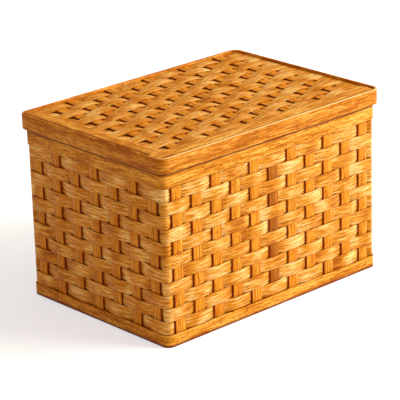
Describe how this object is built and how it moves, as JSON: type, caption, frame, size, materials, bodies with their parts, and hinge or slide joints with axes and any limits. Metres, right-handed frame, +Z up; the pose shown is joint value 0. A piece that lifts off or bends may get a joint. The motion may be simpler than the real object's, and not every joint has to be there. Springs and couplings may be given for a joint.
{
  "type": "woven splint storage box with lift-off lid",
  "caption": "Rectangular box woven from flat varnished wood splints between bent-wood bands, with a woven panel lid in a deep bent-wood rim that lifts off.",
  "frame": {"origin": "middle of the box's footprint, on the floor", "axes": "+X along the long side to the right, +Y from the front to the back, +Z up"},
  "size_m": [0.36, 0.256, 0.233],
  "materials": {
    "weaver_splint": "glossy honey varnish",
    "stake_splint": "glossy honey varnish over fine reeding",
    "band": "glossy honey varnish",
    "base_board": "satin varnish",
    "lid_rim": "glossy honey varnish",
    "lid_border": "glossy honey varnish",
    "lid_cross_splint": "glossy honey varnish",
    "lid_long_splint": "glossy honey varnish"
  },
  "bodies": {
    "box": {"base_board": "base_board", "bottom_outer_band": "band", "bottom_inner_band": "band", "top_outer_band": "band", "top_inner_band": "band", "front_stakes": "stake_splint", "back_stakes": "stake_splint", "left_stakes": "stake_splint", "right_stakes": "stake_splint", "weaver_01": "weaver_splint", "weaver_02": "weaver_splint", "weaver_03": "weaver_splint", "weaver_04": "weaver_splint", "weaver_05": "weaver_splint", "weaver_06": "weaver_splint", "weaver_07": "weaver_splint", "weaver_08": "weaver_splint", "weaver_09": "weaver_splint", "weaver_10": "weaver_splint", "weaver_11": "weaver_splint"},
    "lid": {"lid_rim": "lid_rim", "lid_ledge": "lid_rim", "lid_front_border": "lid_border", "lid_left_border": "lid_border", "lid_cross_splint_01": "lid_cross_splint", "lid_cross_splint_02": "lid_cross_splint", "lid_cross_splint_03": "lid_cross_splint", "lid_cross_splint_04": "lid_cross_splint", "lid_cross_splint_05": "lid_cross_splint", "lid_cross_splint_06": "lid_cross_splint", "lid_cross_splint_07": "lid_cross_splint", "lid_cross_splint_08": "lid_cross_splint", "lid_cross_splint_09": "lid_cross_splint", "lid_cross_splint_10": "lid_cross_splint", "lid_long_splint_01": "lid_long_splint", "lid_long_splint_02": "lid_long_splint", "lid_long_splint_03": "lid_long_splint", "lid_long_splint_04": "lid_long_splint", "lid_long_splint_05": "lid_long_splint", "lid_long_splint_06": "lid_long_splint", "lid_long_splint_07": "lid_long_splint", "lid_long_splint_08": "lid_long_splint", "lid_long_splint_09": "lid_long_splint", "lid_long_splint_10": "lid_long_splint", "lid_long_splint_11": "lid_long_splint", "lid_long_splint_12": "lid_long_splint", "lid_long_splint_13": "lid_long_splint", "lid_long_splint_14": "lid_long_splint"}
  },
  "joints": [
    {"name": "lid_lift", "type": "slide", "parent": "box", "child": "lid", "axis": [0, 0, 1], "range_m": [0, 0.25]}
  ]
}
